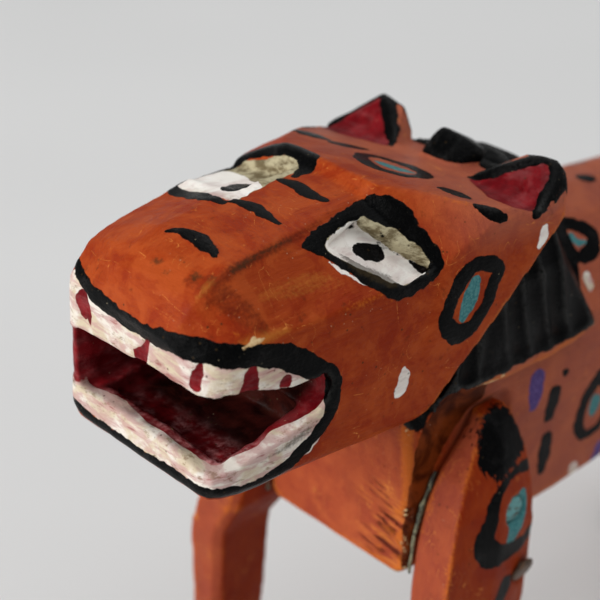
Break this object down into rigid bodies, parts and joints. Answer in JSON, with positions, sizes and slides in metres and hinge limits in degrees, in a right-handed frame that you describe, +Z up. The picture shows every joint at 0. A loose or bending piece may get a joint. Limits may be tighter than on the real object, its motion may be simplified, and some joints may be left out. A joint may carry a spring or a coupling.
{
  "type": "carved wooden alebrije figure",
  "caption": "Hand-carved, painted wooden folk-art big cat with mane, open mouth and cut-in eyes; nailed, glued legs and a plug-in tail that turns. Stands on its feet as decoration.",
  "frame": {"origin": "on the floor plane under the soles, midway between the nose and the rearmost point of the tail, on the middle plane of the body", "axes": "the animal faces -Y, its left side is +X, +Z is up"},
  "size_m": [0.0796, 0.3023, 0.2083],
  "materials": {
    "head_paint": "satin orange acrylic brushed over carved wood, with hand-painted black, white, turquoise and crimson markings and worn arrises",
    "torso_paint": "satin orange acrylic brushed over carved wood, glossy black mane, hand-painted spots and rosettes",
    "leg_paint": "satin orange-red acrylic brushed over carved wood, hand-painted black blotches and rosettes",
    "tail_paint": "satin orange acrylic brushed over carved wood with black bands and tip",
    "dowel_wood": "bare sanded wood",
    "nail_steel": "plain wire nail, dulled, with paint and rust on the head",
    "glue_bead": "hardened greyish glue, uneven"
  },
  "bodies": {
    "figure": {"head": "head_paint", "torso": "torso_paint", "neck_dowel": "dowel_wood", "leg_front_left": "leg_paint", "leg_front_right": "leg_paint", "leg_hind_left": "leg_paint", "leg_hind_right": "leg_paint", "nail_front_left_upper": "nail_steel", "nail_front_left_lower": "nail_steel", "nail_front_right_upper": "nail_steel", "nail_front_right_lower": "nail_steel", "nail_hind_left_upper": "nail_steel", "nail_hind_left_lower": "nail_steel", "nail_hind_right_upper": "nail_steel", "nail_hind_right_lower": "nail_steel", "glue_front_left": "glue_bead", "glue_front_right": "glue_bead", "glue_hind_left": "glue_bead", "glue_hind_right": "glue_bead"},
    "tail_dowel": {"tail_peg": "dowel_wood"},
    "tail": {"tail": "tail_paint"}
  },
  "joints": [
    {"name": "tail_pull", "type": "slide", "parent": "figure", "child": "tail_dowel", "axis": [0, 0.9063, 0.4226], "range_m": [0, 0.014]},
    {"name": "tail_turn", "type": "hinge", "parent": "tail_dowel", "child": "tail", "pos_m": [0, 0.0975, 0.1425], "axis": [0, 0.9063, 0.4226], "continuous": true}
  ]
}
